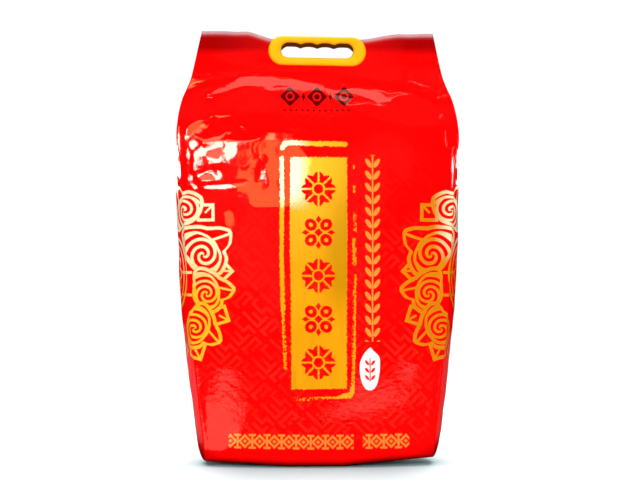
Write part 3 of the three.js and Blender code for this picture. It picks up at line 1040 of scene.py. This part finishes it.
def turned(t, x, y, cx, cy, turn, sx=1.0, sy=1.0):
    c, s = math.cos(math.radians(turn)), math.sin(math.radians(turn))
    dx = t.mul(t.sub(x, cx), 1 / sx)
    dy = t.mul(t.sub(y, cy), 1 / sy)
    return t.add(t.mul(dx, c), t.mul(dy, s)), t.sub(t.mul(dy, c), t.mul(dx, s))


def rosette(t, x, y):
    """Strokes of the scrolled rosette at the side, as a field in pixels."""
    dx, dy = t.sub(x, GUSSET_MID[0]), t.mul(t.sub(y, GUSSET_MID[1]), 0.8)
    r = t.hypot(dx, dy)
    a = t.math("ARCTAN2", dy, dx)
    lobes = t.add(11.5, t.mul(t.abs(t.math("COSINE", t.mul(a, 4.0))), 4.0))
    f = t.top(t.band(t.sub(r, 28.5), 1.3), t.band(t.sub(r, 22.5), 0.9), t.band(t.sub(lobes, r), 1.2), t.sub(4.2, r))
    for v in (272.5, 295.0):
        f = t.top(f, t.low(t.band(t.sub(y, v), 1.3), t.within(x, 176.0, 192.0)))
    for cx, cy, turn in BUDS:
        lx, ly = turned(t, x, y, cx, cy, turn)
        edge = t.mul(t.sub(10.6, t.add(t.abs(lx), t.abs(ly))), 0.7071)
        seed = t.low(t.sub(0.95, t.abs(ly)), t.within(lx, -0.5, 9.5))
        bud = t.top(t.band(edge, 1.5), seed)
        f = t.top(t.low(f, t.mul(t.add(edge, 1.5), -1.0)), bud)
    for cx, cy, turn, sx, sy in PETALS:
        size = (sx + sy) / 2
        lx, ly = turned(t, x, y, cx, cy, turn, sx, sy)
        r = t.hypot(lx, ly)
        a = t.add(t.mul(t.math("ARCTAN2", ly, lx), 0.5 / math.pi), 0.5)
        rim = t.mul(t.sub(t.curve(a, PETAL_OUT, 30.0), r), 0.88 * size)
        inner = t.mul(t.sub(t.curve(a, PETAL_IN, 30.0), r), 0.92 * size)
        coil = t.math("WRAP", t.add(t.add(r, t.mul(a, 11.4)), -7.27), 5.7, 0.0)
        arms = t.mul(t.sub(1.28, t.abs(t.sub(coil, 2.85))), size)
        tip = t.sub(1.05, t.abs(t.add(t.add(ly, 6.5), t.mul(t.sub(lx, 12.0), -0.21))))
        tip = t.low(tip, t.within(lx, 11.0, 26.5))
        strokes = t.top(t.band(rim, 1.6), t.band(inner, 1.25), t.low(arms, inner), t.mul(tip, size))
        strokes = t.low(strokes, t.add(rim, 1.6))
        f = t.top(t.low(f, t.mul(t.add(rim, 1.6), -1.0)), strokes)
    return f


def ornaments(t, u, v):
    """Five bold ornaments down the tall panel, of two kinds in turn."""
    pitch, first, size = 43.4, 167.3, 17.4
    x = t.mul(t.sub(u, 318.5), 1 / size)
    y = t.mul(t.sub(t.math("WRAP", t.sub(v, first), pitch, 0.0), pitch / 2), 1 / size)
    odd = t.math("MODULO", t.math("FLOOR", t.mul(t.sub(v, first), 1 / pitch)), 2.0)
    r, a = t.hypot(x, y), t.math("ARCTAN2", y, x)
    # a flower of eight petals with a ring in its middle
    rim = t.sub(t.add(0.80, t.mul(t.abs(t.math("COSINE", t.mul(a, 4.0))), 0.20)), r)
    vein = t.sub(t.mul(t.abs(t.math("SINE", t.mul(a, 4.0))), t.mul(r, 0.25)), 0.05)
    vein = t.top(vein, t.sub(0.40, r))
    flower = t.low(rim, vein, t.sub(t.abs(t.sub(r, 0.33)), 0.05))
    # four round leaves with open hearts, a lozenge between and four points
    c = math.cos(math.pi / 4)
    p, q = t.abs(t.mul(t.sub(x, y), c)), t.abs(t.mul(t.add(x, y), c))
    hi, lo = t.math("MAXIMUM", p, q), t.math("MINIMUM", p, q)
    d = t.hypot(t.sub(hi, 0.62), t.mul(lo, 1.12))
    leaf = t.low(t.sub(0.37, d), t.sub(d, 0.12))
    lozenge = t.mul(t.sub(0.25, t.add(t.abs(x), t.abs(y))), 0.7)
    ax, ay = t.abs(x), t.abs(y)
    ha, la = t.math("MAXIMUM", ax, ay), t.math("MINIMUM", ax, ay)
    point = t.mul(t.sub(0.24, t.add(t.abs(t.sub(ha, 0.74)), t.mul(la, 1.5))), 0.7)
    knot = t.top(leaf, lozenge, point)
    f = t.add(t.mul(flower, t.sub(1.0, odd)), t.mul(knot, odd))
    f = t.mul(f, size)
    return t.low(f, t.within(v, first, first + 5 * pitch), t.within(u, 296.0, 341.0))


def grain_ear(t, u, v):
    """A slim ear of grain growing up beside the panel."""
    x = t.abs(t.sub(u, 372.6))
    y = t.sub(t.math("WRAP", t.sub(v, 157.0), 12.1, 0.0), 6.05)
    c, s = math.cos(math.radians(33)), math.sin(math.radians(33))
    lx = t.add(t.mul(t.sub(x, 4.1), c), t.mul(y, s))
    ly = t.sub(t.mul(y, c), t.mul(t.sub(x, 4.1), s))
    seed = t.mul(t.sub(1.0, t.hypot(t.mul(lx, 1 / 2.1), t.mul(ly, 1 / 5.0))), 2.1)
    f = t.top(seed, t.sub(0.7, x))
    return t.low(f, t.within(v, 155.0, 341.5))


def border(t, u, v):
    """A narrow row of lozenges and bars along the foot of the panel."""
    pitch = 14.6
    bow = t.mul(t.math("POWER", t.mul(t.abs(t.sub(u, U_MID)), 0.01), 2.0), -2.0)
    b = t.abs(t.sub(v, t.add(bow, 442.0)))
    x = t.sub(pitch / 2, t.frac(t.sub(u, 230.5), pitch))
    y = t.sub(pitch / 2, x)
    d = t.add(x, b)
    f = t.top(
        t.sub(1.0, t.mul(t.abs(t.sub(d, 5.6)), 0.7071)),
        t.mul(t.sub(1.9, d), 0.7071),
        t.low(t.sub(1.05, y), t.sub(6.9, b)),
        t.low(t.sub(1.0, t.abs(t.sub(b, 6.3))), t.sub(3.4, y)),
    )
    place = t.top(t.within(u, 229.0, 353.5), t.within(u, 363.0, 409.0))
    return t.low(f, place, t.sub(9.0, b))


def small_ink(t, u, v):
    """Three dark rosettes and a dotted line under the header."""
    x = t.sub(t.math("WRAP", t.sub(u, 276.5), 27.0, 0.0), 13.5)
    y = t.sub(v, 96.5)
    r, a = t.hypot(x, y), t.math("ARCTAN2", y, x)
    petals = t.sub(t.sub(9.9, r), t.mul(t.abs(t.math("SINE", t.mul(a, 2.0))), 2.6))
    petals = t.low(petals, t.sub(t.abs(t.sub(r, 3.6)), 0.7))
    gap = t.sub(13.5, t.abs(x))
    between = t.sub(2.4, t.add(t.mul(gap, 1.25), t.mul(t.abs(y), 0.5)))
    row = t.low(t.top(petals, between), t.within(u, 277.5, 356.5), t.within(v, 85.0, 106.0))
    dots = t.sub(1.45, t.add(t.sub(2.9, t.frac(t.sub(u, 279.0), 5.8)), t.abs(t.sub(v, 110.3))))
    dots = t.low(dots, t.within(u, 279.0, 354.0))
    return t.top(row, dots)


def foot_ink(t, u, v):
    """A small divider above the foot of the panel."""
    x, y = t.abs(t.sub(u, 320.5)), t.abs(t.sub(v, 421.0))
    rule = t.low(t.sub(0.7, y), t.within(x, 10.0, 27.0))
    d = t.add(x, y)
    ends = t.mul(t.sub(2.2, t.add(t.abs(t.sub(x, 28.0)), y)), 0.7)
    return t.top(rule, ends, t.sub(0.85, t.abs(t.sub(d, 6.0))), t.sub(2.2, d))


def grain_mark(t, u, v):
    """A tiny sprig on the white grain."""
    x = t.abs(t.sub(u, 370.0))
    y = t.sub(t.math("WRAP", t.sub(v, 359.0), 7.4, 0.0), 3.7)
    c, s = math.cos(math.radians(38)), math.sin(math.radians(38))
    lx = t.add(t.mul(t.sub(x, 3.0), c), t.mul(y, s))
    ly = t.sub(t.mul(y, c), t.mul(t.sub(x, 3.0), s))
    seed = t.mul(t.sub(1.0, t.hypot(t.mul(lx, 1 / 1.4), t.mul(ly, 1 / 3.2))), 1.4)
    return t.low(t.top(seed, t.sub(0.6, x)), t.within(v, 358.0, 381.5))


def fret_field(t, u, v):
    """A meander of bars at 45 degrees that step round each other."""
    a = t.mul(t.add(u, v), 0.7071)
    b = t.mul(t.sub(u, v), 0.7071)
    am, bn = t.math("WRAP", a, 39.0, 0.0), t.math("WRAP", b, 26.0, 0.0)

    def bar(cx, cy, hx, hy):
        return t.low(t.sub(hx, t.abs(t.sub(am, cx))), t.sub(hy, t.abs(t.sub(bn, cy))))

    w = 1.55
    return t.top(
        bar(13.0, 3.2, 11.5, w),
        bar(22.95, 9.7, w, 8.05),
        bar(17.0, 9.7, 7.5, w),
        bar(9.5, 16.2, 7.6, w),
        bar(3.45, 19.0, w, 4.4),
        bar(16.4, 19.6, w, 4.9),
        bar(20.6, 22.9, 5.7, w),
        bar(31.5, 3.2, 4.6, w),
        bar(29.6, 12.9, w, 8.2),
        bar(33.4, 19.6, 5.3, w),
        bar(36.1, 12.9, w, 4.9),
    )


def film_material():
    t = Tree("printed_film")
    u, v = t.attr("film_u"), t.attr("film_v")
    uv = t.vec(u, v)
    ragged = t.sub(t.noise(uv, 0.42, 3.0, 0.65), 0.5)
    fine = t.sub(t.noise(uv, 0.9, 1.0), 0.5)

    def mask(field, wobble, soft):
        f = t.add(field, wobble) if wobble is not None else field
        return t.remap(f, -soft, soft, 0, 1, True)

    fold = t.low(u, t.sub(2 * U_MID, u))
    side = mask(rosette(t, fold, v), t.mul(fine, 0.5), 0.25)
    amber = mask(t.top(grain_ear(t, u, v), border(t, u, v)), t.mul(fine, 0.5), 0.25)
    panel = mask(t.attr("print_rough"), t.mul(ragged, 4.6), 0.3)
    cutout = mask(ornaments(t, u, v), t.mul(ragged, 1.9), 0.3)
    panel = t.mul(panel, t.sub(1.0, cutout))
    gold = t.math("MAXIMUM", side, t.math("MAXIMUM", amber, panel))
    ink = mask(small_ink(t, u, v), t.mul(ragged, 0.7), 0.3)
    ink2 = mask(foot_ink(t, u, v), t.mul(ragged, 0.7), 0.4)
    white = mask(t.attr("print_white"), t.mul(fine, 0.4), 0.3)
    sprig = mask(grain_mark(t, u, v), None, 0.3)

    # the tone-on-tone fret comes and goes over the middle and the foot
    fret = t.remap(fret_field(t, u, v), -0.3, 0.3, 0, 1, True)
    du = t.abs(t.sub(u, U_MID))
    zone = t.mul(t.remap(du, 100, 122, 1, 0), t.remap(v, 140, 330, 0.12, 1.0))
    zone = t.mul(zone, t.remap(v, 428, 446, 1, 0))
    patch = t.remap(t.noise(uv, 0.022, 2.0), 0.36, 0.60, 0.1, 1.0)
    fret = t.mul(fret, t.mul(zone, patch))

    col = t.mix(t.mul(fret, 0.9), RED, FRET)
    # painted shade: the top band of the header is darkened, most towards its corners
    corner = t.mul(t.remap(t.add(v, t.mul(ragged, 3.0)), 60, 47, 0, 1), t.remap(du, 45, 90, 0.72, 1))
    col = t.mix(t.mul(corner, 0.9), col, (0.22, 0.0006, 0.0008))
    # painted shade: the film darkens to near black along its bottom edge and up the lower corners, where it turns
    # under
    low = t.mul(t.attr("foot"), 0.95)
    low = t.top(low, t.mul(t.remap(du, 92, 120, 0, 0.72), t.remap(v, 428, 456, 0, 1)))
    col = t.mix(low, col, (0.07, 0.0004, 0.0005))
    # tones of the gold: a painted highlight, light at the top and palest at the panel's top left, and painted
    # shade, ochre at the right of the middle, as the foil would mirror bright and dark surroundings; streaks of
    # tone come and go at random
    ochre_shade = t.mul(t.remap(u, 312, 336, 0, 1), t.mul(t.remap(v, 175, 205, 0, 1), t.remap(v, 330, 285, 0, 1)))
    ochre_shade = t.mul(ochre_shade, t.remap(u, 350, 362, 1, 0))
    streak = t.remap(t.noise(t.vec(t.mul(u, 1.0), t.mul(v, 0.12)), 0.12, 2.0), 0.35, 0.7)
    tone = t.mix(t.mul(streak, 0.35), GOLD, GOLD_DEEP)
    tone = t.mix(t.mul(ochre_shade, 0.85), tone, GOLD_DEEP)
    tone = t.mix(t.mul(t.remap(v, 270, 165, 0.0, 0.9), t.remap(u, 345, 310, 0.3, 1.0)), tone, GOLD_HIGHLIGHT)
    gold_highlight = t.mul(t.remap(t.add(u, t.mul(ragged, 14.0)), 311, 298, 0, 1), t.remap(t.add(v, t.mul(ragged, 16.0)), 211, 196, 0, 1))
    tone = t.mix(t.mul(gold_highlight, 0.85), tone, (1.0, 0.90, 0.60))
    # the side rosettes: a painted highlight, cream high on the left and in a small patch high on the right, yellow
    # below, ochre on the right; a noise wobbles the edges of these tones
    tone_wobble = t.mul(t.sub(t.noise(uv, 0.12, 2.0), 0.5), 36.0)
    rose = t.mix(t.remap(t.add(v, tone_wobble), 350, 290), ROSE_MID, ROSE_LOW)
    rose = t.mix(t.remap(t.add(v, tone_wobble), 292, 252), rose, ROSE_HIGHLIGHT)
    rose = t.mix(t.remap(u, 300, 330), rose, ROSE_RIGHT)
    rose = t.mix(t.mul(t.remap(u, 434, 448), t.remap(v, 262, 240)), rose, ROSE_HIGHLIGHT)
    tone = t.mix(side, tone, rose)
    tone = t.mix(amber, tone, AMBER)
    col = t.mix(gold, col, tone)
    col = t.mix(t.mul(ink, 0.95), col, INK)
    col = t.mix(t.mul(ink2, 0.62), col, (0.16, 0.0006, 0.0006))
    col = t.mix(white, col, CREAM)
    col = t.mix(t.mul(sprig, white), col, (0.72, 0.010, 0.008))
    # the weld at the top edge: bare film, greyish pink
    weld = t.attr("weld")
    col = t.mix(weld, col, (0.42, 0.20, 0.21))
    t.link(col, t.bsdf.inputs["Base Color"])

    t.link(t.mul(gold, 0.45), t.bsdf.inputs["Metallic"])
    smear = t.noise(uv, 0.05, 4.0, 0.6)
    rough = t.remap(smear, 0.3, 0.7, 0.20, 0.30)
    rough = t.mixf(fret, rough, 0.36)
    rough = t.mixf(gold, rough, 0.30)
    t.link(rough, t.bsdf.inputs["Roughness"])
    t.bsdf.inputs["IOR"].default_value = 1.45
    t.bsdf.inputs["Specular IOR Level"].default_value = 0.0
    t.bsdf.inputs["Coat Weight"].default_value = 1.0
    t.bsdf.inputs["Coat Roughness"].default_value = 0.05
    t.bsdf.inputs["Coat IOR"].default_value = 1.5

    # relief: fine unevenness of thin film over loose grain
    crinkle = t.noise(t.vec(t.mul(u, 0.8), v), 0.16, 3.0, 0.55)
    rumple = t.add(1.0, t.mul(t.remap(v, 362, 392, 0, 1), 5.0))
    height = t.add(t.mul(crinkle, rumple), t.mul(gold, 0.02))
    height = t.add(height, t.mul(fret, 0.12))
    bump = t.node("ShaderNodeBump")
    bump.inputs["Strength"].default_value = 0.16
    bump.inputs["Distance"].default_value = 0.0004
    t.link(height, bump.inputs["Height"])
    t.link(bump.outputs[0], t.bsdf.inputs["Normal"])
    t.link(bump.outputs[0], t.bsdf.inputs["Coat Normal"])
    return t.mat


def handle_material():
    t = Tree("moulded_handle")
    tex = t.node("ShaderNodeTexCoord").outputs["Object"]
    wall_shade = t.attr("wall_shade")
    tone = t.noise(tex, 28.0, 3.0)
    col = t.mix(t.remap(tone, 0.35, 0.65), (0.74, 0.325, 0.0010), (0.79, 0.375, 0.0020))
    # painted shade: the upper wall of the opening is darkened to near black
    col = t.mix(t.math("MULTIPLY", wall_shade, 0.97, clamp=True), col, (0.045, 0.002, 0.001))
    t.link(col, t.bsdf.inputs["Base Color"])
    rough = t.remap(t.noise(tex, 260.0, 2.0), 0.3, 0.7, 0.30, 0.42)
    t.link(rough, t.bsdf.inputs["Roughness"])
    t.bsdf.inputs["IOR"].default_value = 1.46
    t.bsdf.inputs["Specular IOR Level"].default_value = 0.14
    bump = t.node("ShaderNodeBump")
    bump.inputs["Strength"].default_value = 0.25
    bump.inputs["Distance"].default_value = 0.0002
    h = t.math("ADD", t.noise(tex, 900.0, 2.0), t.math("MULTIPLY", t.noise(tex, 90.0, 2.0), 1.5))
    t.link(h, bump.inputs["Height"])
    t.link(bump.outputs[0], t.bsdf.inputs["Normal"])
    return t.mat


film.data.materials.append(film_material())
handle_mat = handle_material()
for ob in (grip_front, grip_back):
    ob.data.materials.append(handle_mat)

for piece, node, slot in (
    (film, "sack", "film"),
    (grip_front, "handle_front", "handle"),
    (grip_back, "handle_back", "handle"),
):
    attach(piece, "root")
    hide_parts(node)

# ----------------------------------------------------------- stage and lights
floor_me = bpy.data.meshes.new("floor")
n = 96
ring = [(0.85 * math.cos(2 * math.pi * i / n), 0.85 * math.sin(2 * math.pi * i / n), 0.0) for i in range(n)]
floor_me.from_pydata(ring, [], [tuple(range(n))])
floor = bpy.data.objects.new("floor", floor_me)
bpy.context.collection.objects.link(floor)
ft = Tree("pale_floor")
ft_pos = ft.node("ShaderNodeTexCoord").outputs["Object"]
ft_xyz = ft.node("ShaderNodeSeparateXYZ")
ft.link(ft_pos, ft_xyz.inputs[0])
# painted shadow: the floor's colour darkens round the bag's foot, tinted cool against the red light the bag throws
# on it, and settles to pale grey further out
ft_x = ft.mul(ft.top(ft.sub(ft.abs(ft_xyz.outputs[0]), 0.055), 0.0), 2.2)
ft_far = ft.remap(ft.hypot(ft_x, ft_xyz.outputs[1]), 0.02, 0.13, 0, 1)
ft_col = ft.mix(ft_far, (0.33, 0.48, 0.495), (0.575, 0.71, 0.725))
ft_out = ft.remap(ft.hypot(ft_x, ft_xyz.outputs[1]), 0.11, 0.26, 0, 1)
ft.link(ft.mix(ft_out, ft_col, (0.72, 0.72, 0.72)), ft.bsdf.inputs["Base Color"])
ft.bsdf.inputs["Roughness"].default_value = 0.9
ft.bsdf.inputs["Specular IOR Level"].default_value = 0.0
floor.data.materials.append(ft.mat)
floor.visible_glossy = False

world = bpy.data.worlds.new("studio")
bpy.context.scene.world = world
world.use_nodes = True
wn = world.node_tree
wn.nodes.clear()
wo = wn.nodes.new("ShaderNodeOutputWorld")
bg_seen = wn.nodes.new("ShaderNodeBackground")
bg_seen.inputs[0].default_value = (1, 1, 1, 1)
bg_seen.inputs[1].default_value = 1.05
bg_light = wn.nodes.new("ShaderNodeBackground")
bg_light.inputs[0].default_value = (1, 1, 1, 1)
bg_light.inputs[1].default_value = 0.0
path = wn.nodes.new("ShaderNodeLightPath")
m2 = wn.nodes.new("ShaderNodeMixShader")
wn.links.new(path.outputs["Is Camera Ray"], m2.inputs[0])
wn.links.new(bg_light.outputs[0], m2.inputs[1])
wn.links.new(bg_seen.outputs[0], m2.inputs[2])
wn.links.new(m2.outputs[0], wo.inputs[0])
world.cycles_visibility.glossy = False


def area(name, at, aim, w, h, power, colour=(1, 1, 1), glossy=True, diffuse=True, spread=180):
    data = bpy.data.lights.new(name, "AREA")
    data.shape = "RECTANGLE"
    data.size, data.size_y = w, h
    data.energy = power
    data.color = colour
    data.spread = math.radians(spread)
    ob = bpy.data.objects.new(name, data)
    bpy.context.collection.objects.link(ob)
    ob.location = at
    ob.rotation_euler = (Vector(aim) - Vector(at)).to_track_quat("-Z", "Y").to_euler()
    ob.visible_glossy = glossy
    ob.visible_diffuse = diffuse
    ob.visible_camera = False
    return ob


def softbox(name, at, aim, w, h, radiance, colour=(1, 1, 1), shape="RECTANGLE"):
    """A lamp that only shows as a reflection, of a given radiance."""
    at, aim = Vector(np.array(at) * MM), Vector(np.array(aim) * MM)
    ob = area(name, at, aim, w, h, radiance * math.pi * w * h, colour, glossy=True, diffuse=False)
    ob.data.shape = shape
    if shape == "ELLIPSE":
        ob.data.energy *= math.pi / 4


area("fill", (-0.2, -2.4, 0.8), (0, 0, 0.2), 2.2, 1.6, 78, glossy=False)
area("top", (0, 0, 2.3), (0, 0, 0), 3.0, 3.0, 115, glossy=False)
area("back_fill", (0.3, 2.4, 0.9), (0, 0, 0.2), 2.0, 1.4, 50, glossy=False)
area("left_fill", (-2.4, -0.3, 0.8), (0, 0, 0.2), 1.6, 1.4, 9, glossy=False)
area("right_fill", (2.4, -0.3, 0.8), (0, 0, 0.2), 1.6, 1.4, 8, glossy=False)
softbox("window", LAMPS["window"], (-100, -30, 300), 0.26, 0.27, 30, (1.0, 0.91, 0.72))
softbox("door", LAMPS["door"], (-40, -40, 290), 0.26, 0.37, 5.6, (1.0, 0.46, 0.12))
softbox("peach", LAMPS["peach"], (-40, -40, 300), 0.26, 0.20, 9.5, (1.0, 0.76, 0.28))
softbox("ceiling", LAMPS["ceiling"], (0, -10, 360), 0.90, 0.26, 2.1, (1.0, 0.92, 0.75))
softbox("ceiling_right", LAMPS["ceiling_right"], (100, -10, 350), 0.34, 0.26, 2.1, (1.0, 0.92, 0.80))
softbox("glow", LAMPS["glow"], (-100, -30, 300), 0.36, 0.36, 4.4, (1.0, 0.93, 0.50))
softbox("right_strip", LAMPS["right"], (130, -25, 300), 0.26, 0.26, 26, (1.0, 0.94, 0.84))
softbox("pale", LAMPS["pale"], (130, -25, 320), 0.32, 0.34, 2.4, (1.0, 0.95, 0.90))
softbox("rim_left", (-1188, 1694, 405), (-130, 0, 300), 1.2, 0.19, 8.5)
softbox("rim_right", (1193, 1694, 405), (133, 0, 300), 1.2, 0.19, 7.5)
# pale cards lying on the floor, seen in the lower part of the film
softbox("card_left", (-241, -324, 2), (-249.8, -342, 902), 0.118, 0.62, 1.35, (1.0, 1.0, 0.76), "ELLIPSE")
softbox("card_right", (200, -400, 2), (210, -410, 902), 0.12, 0.46, 1.0, (1.0, 1.0, 0.80))
softbox("card_back_left", (-420, 470, 2), (-420, 470, 902), 0.5, 0.9, 0.22)
softbox("card_back_right", (420, 470, 2), (420, 470, 902), 0.5, 0.9, 0.10)
softbox("behind", (700, 2300, 1300), (0, 0, 250), 0.6, 0.6, 16)

# --------------------------------------------------------------------- camera
cam_data = bpy.data.cameras.new("camera")
cam = bpy.data.objects.new("camera", cam_data)
bpy.context.collection.objects.link(cam)
bpy.context.scene.camera = cam
cam_data.sensor_fit = "HORIZONTAL"
cam_data.sensor_width = 36.0
cam_data.lens = CAM_F * 36.0 / 640.0
cam_data.clip_start, cam_data.clip_end = 0.05, 20.0
aim = CAM_AT + CAM_RIGHT * ((320 - CAM_CX) / CAM_F * CAM_DIST) + CAM_UP * ((CAM_CY - 240) / CAM_F * CAM_DIST)
cam.location = Vector(CAM_POS * MM)
cam.rotation_euler = (Vector(aim * MM) - cam.location).to_track_quat("-Z", "Y").to_euler()

scene = bpy.context.scene
scene.view_settings.view_transform = "Standard"
scene.view_settings.look = "None"
scene.view_settings.exposure = 0.0
scene.view_settings.gamma = 1.0

bpy.context.view_layer.update()
